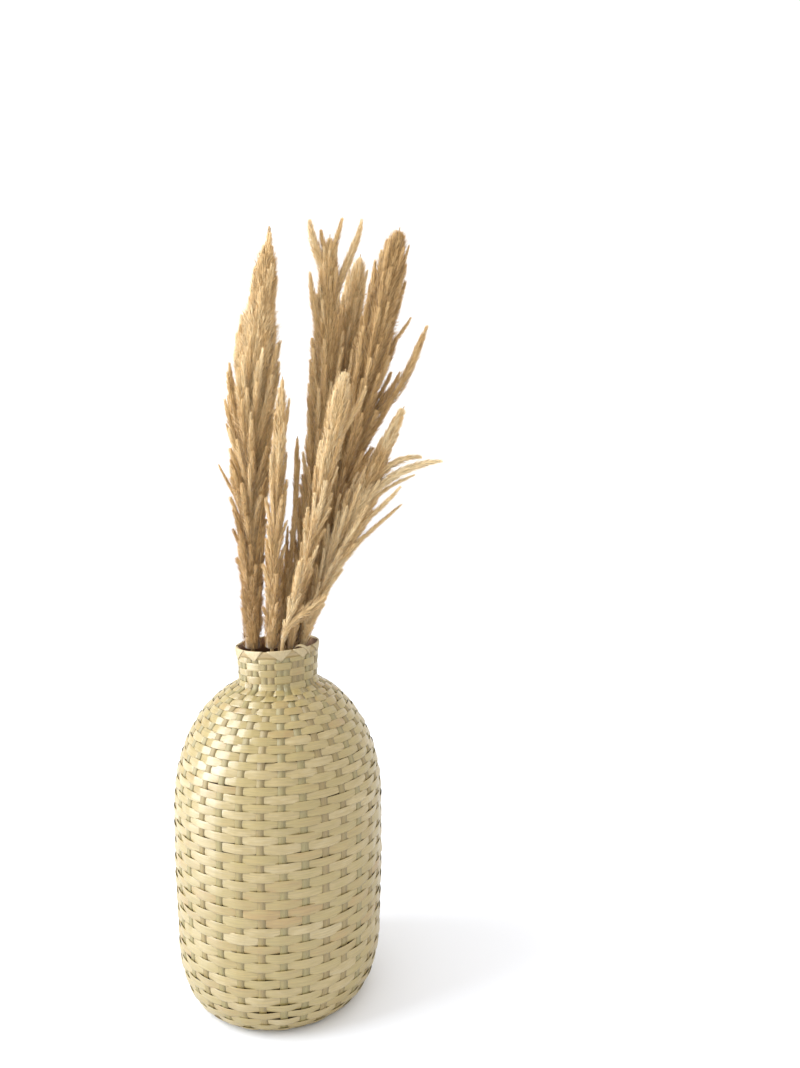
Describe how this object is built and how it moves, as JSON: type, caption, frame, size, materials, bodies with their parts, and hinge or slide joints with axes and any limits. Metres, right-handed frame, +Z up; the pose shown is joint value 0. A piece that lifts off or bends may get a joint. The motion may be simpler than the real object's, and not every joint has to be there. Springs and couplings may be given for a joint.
{
  "type": "pampas grass in woven straw pot",
  "caption": "Dried pampas grass stalks standing in a tall round woven straw pot with a narrow neck, for standing on a floor or shelf.",
  "frame": {"origin": "middle of the pot's flat underside", "axes": "+Z up along the pot's axis, -Y is the front, +X is the side that the grass leans to"},
  "size_m": [0.254, 0.2, 0.744],
  "materials": {
    "straw": "pale flat straw strips in a plain weave, faintly glossy",
    "folded_straw": "folded flat straw, slightly tanned",
    "culm": "dry smooth grass stem",
    "plume": "soft dry beige plume hairs, matte"
  },
  "bodies": {
    "root": {"woven_pot": "straw", "folded_rim": "folded_straw", "stem_left": "culm", "stem_left_inner": "culm", "stem_thin": "culm", "stem_front_short": "culm", "stem_middle": "culm", "stem_front": "culm", "stem_middle_back": "culm", "stem_right": "culm", "stem_low_right": "culm", "plume_left": "plume", "plume_left_inner": "plume", "plume_thin": "plume", "plume_front_short": "plume", "plume_middle": "plume", "plume_front": "plume", "plume_middle_back": "plume", "plume_right": "plume", "plume_low_right": "plume"}
  },
  "joints": []
}
